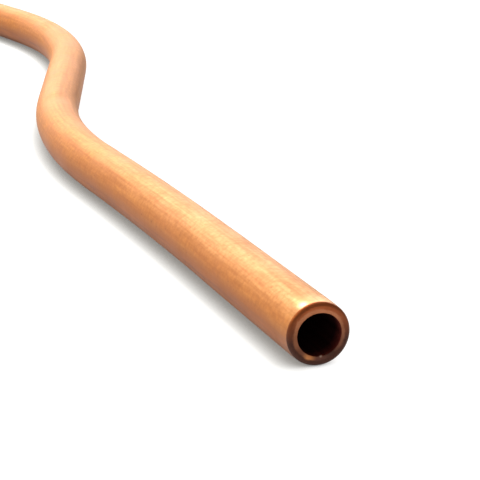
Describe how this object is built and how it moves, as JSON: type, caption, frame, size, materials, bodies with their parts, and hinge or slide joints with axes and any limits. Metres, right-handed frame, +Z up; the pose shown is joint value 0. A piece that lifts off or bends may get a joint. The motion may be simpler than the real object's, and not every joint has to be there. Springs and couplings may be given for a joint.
{
  "type": "copper tube",
  "caption": "Length of soft round copper tube with an open bore and plain cut ends, bent in a flat S and left with the slight curve of its coil; carries gas, water or refrigerant.",
  "frame": {"origin": "centre of the near mouth, on the plane of its flat cut face", "axes": "+Y runs from the near mouth into the tube, +X to its right, +Z up from the floor that the tube lies on"},
  "size_m": [0.0699, 0.2859, 0.0064],
  "materials": {
    "copper": "satin, soft annealed copper"
  },
  "bodies": {
    "root": {"copper_tube": "copper"}
  },
  "joints": []
}
